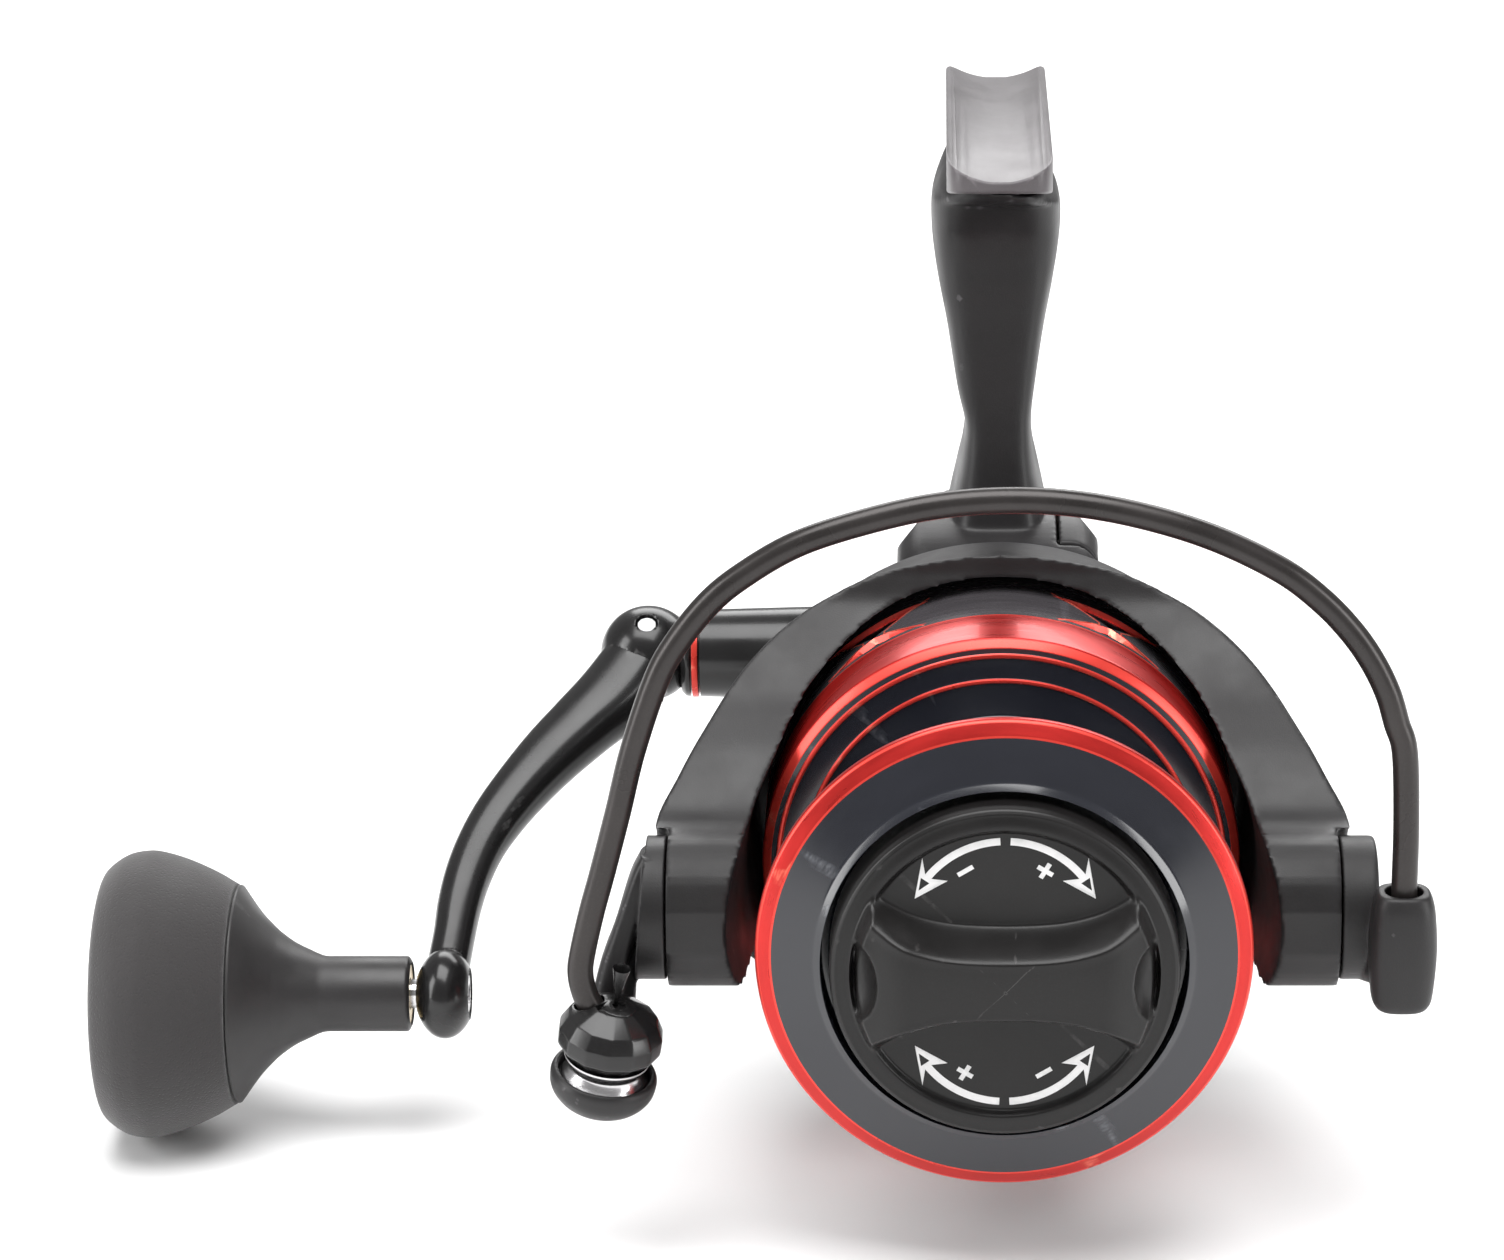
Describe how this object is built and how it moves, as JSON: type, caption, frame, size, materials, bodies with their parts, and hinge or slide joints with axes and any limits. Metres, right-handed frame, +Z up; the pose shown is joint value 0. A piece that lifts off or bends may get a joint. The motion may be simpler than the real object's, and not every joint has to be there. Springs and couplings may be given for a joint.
{
  "type": "spinning reel",
  "caption": "Open-face spinning reel with a flared spool, wire bail and line roller, front drag knob, geared rotor and a fold-down crank handle with a bell-shaped grip.",
  "frame": {"origin": "on the foot's seat straight above the handle's axis, on the flat strip where the rod rests", "axes": "+Z up into the rod, -Y to the front of the reel (the drag knob), handle towards -X"},
  "size_m": [0.2017, 0.1692, 0.1474],
  "materials": {
    "body_black": "satin",
    "rotor_black": "satin",
    "spool_black": "gloss anodised",
    "red_anodised": "anodised",
    "knob_black": "satin",
    "gloss_black": "gloss",
    "wire_dark": "satin",
    "bright_steel": "polished",
    "brass": "machined",
    "carbon": "woven",
    "grip_foam": "matte",
    "grip_polymer": "satin"
  },
  "bodies": {
    "body": {"housing": "body_black", "side_plate": "body_black", "side_cap": "gloss_black", "plate_screw_1": "bright_steel", "plate_screw_2": "bright_steel", "plate_screw_3": "bright_steel", "trip_ramp": "bright_steel", "guide_rod": "bright_steel", "clutch_ring": "bright_steel", "pinion_bearing_front": "bright_steel", "pinion_bush_rear": "brass", "drive_bearing_left": "bright_steel", "drive_bearing_right": "bright_steel"},
    "drive": {"drive_shaft": "bright_steel", "drive_gear": "brass", "handle_sleeve": "gloss_black", "sleeve_ring": "red_anodised", "fold_pin": "bright_steel"},
    "crank": {"crank_arm": "gloss_black", "grip_axle": "bright_steel", "grip_axle_screw": "bright_steel"},
    "handle_grip": {"grip_hub": "grip_polymer", "grip": "grip_foam", "grip_cap": "gloss_black", "grip_bush": "brass"},
    "slow_gear": {"oscillation_gear": "grip_polymer"},
    "shaft": {"main_shaft": "bright_steel", "slider": "brass", "click_ratchet": "bright_steel", "drag_plate_1": "bright_steel", "drag_plate_3": "bright_steel"},
    "spool": {"spool": "spool_black", "drag_washer_1": "carbon", "drag_washer_2": "carbon", "drag_washer_3": "carbon", "drag_plate_2": "bright_steel", "retaining_ring": "bright_steel"},
    "knob": {"drag_knob": "knob_black", "drag_nut": "brass", "drag_spring": "bright_steel"},
    "rotor": {"rotor": "rotor_black", "rotor_nut": "bright_steel", "pinion": "brass", "clutch_sleeve": "bright_steel", "bail_spring": "bright_steel", "spring_cover": "rotor_black", "bail_pivot_screw_left": "bright_steel", "bail_pivot_screw_right": "bright_steel"},
    "bail": {"bail_arm": "rotor_black", "bail_holder": "rotor_black", "bail_wire": "wire_dark", "roller_cap": "gloss_black", "roller_pin": "bright_steel", "roller_bearing": "brass"},
    "roller": {"line_roller": "bright_steel"}
  },
  "joints": [
    {"name": "handle_turn", "type": "hinge", "parent": "body", "child": "drive", "pos_m": [0, 0, -0.087], "axis": [1, 0, 0], "continuous": true},
    {"name": "handle_fold", "type": "hinge", "parent": "drive", "child": "crank", "pos_m": [-0.057, 0, -0.087], "axis": [0, 0.506, -0.8625], "range_deg": [0, 90]},
    {"name": "grip_spin", "type": "hinge", "parent": "crank", "child": "handle_grip", "pos_m": [-0.12, -0.06038, -0.12242], "axis": [1, 0, 0], "continuous": true},
    {"name": "oscillation_turn", "type": "hinge", "parent": "body", "child": "slow_gear", "pos_m": [-0.008, 0, -0.10185], "axis": [1, 0, 0], "continuous": true},
    {"name": "rotor_spin", "type": "hinge", "parent": "body", "child": "rotor", "pos_m": [0, -0.04, -0.095], "axis": [0, 1, 0], "continuous": true},
    {"name": "bail_flip", "type": "hinge", "parent": "rotor", "child": "bail", "pos_m": [0, -0.0934, -0.095], "axis": [1, 0, 0], "range_deg": [0, 110]},
    {"name": "line_roller_spin", "type": "hinge", "parent": "bail", "child": "roller", "pos_m": [-0.0582, -0.1068, -0.1146], "axis": [0.1701, -0.1701, 0.9706], "continuous": true},
    {"name": "spool_stroke", "type": "slide", "parent": "body", "child": "shaft", "axis": [0, -1, 0], "range_m": [0, 0.016]},
    {"name": "spool_slip", "type": "hinge", "parent": "shaft", "child": "spool", "pos_m": [0, -0.09, -0.095], "axis": [0, 1, 0], "continuous": true},
    {"name": "drag_knob_turn", "type": "hinge", "parent": "shaft", "child": "knob", "pos_m": [0, -0.115, -0.095], "axis": [0, 1, 0], "range_deg": [-540, 540]}
  ],
  "couplings": [
    {"joint": "rotor_spin", "follows": "handle_turn", "ratio": 5.3},
    {"joint": "oscillation_turn", "follows": "handle_turn", "ratio": -0.5}
  ]
}
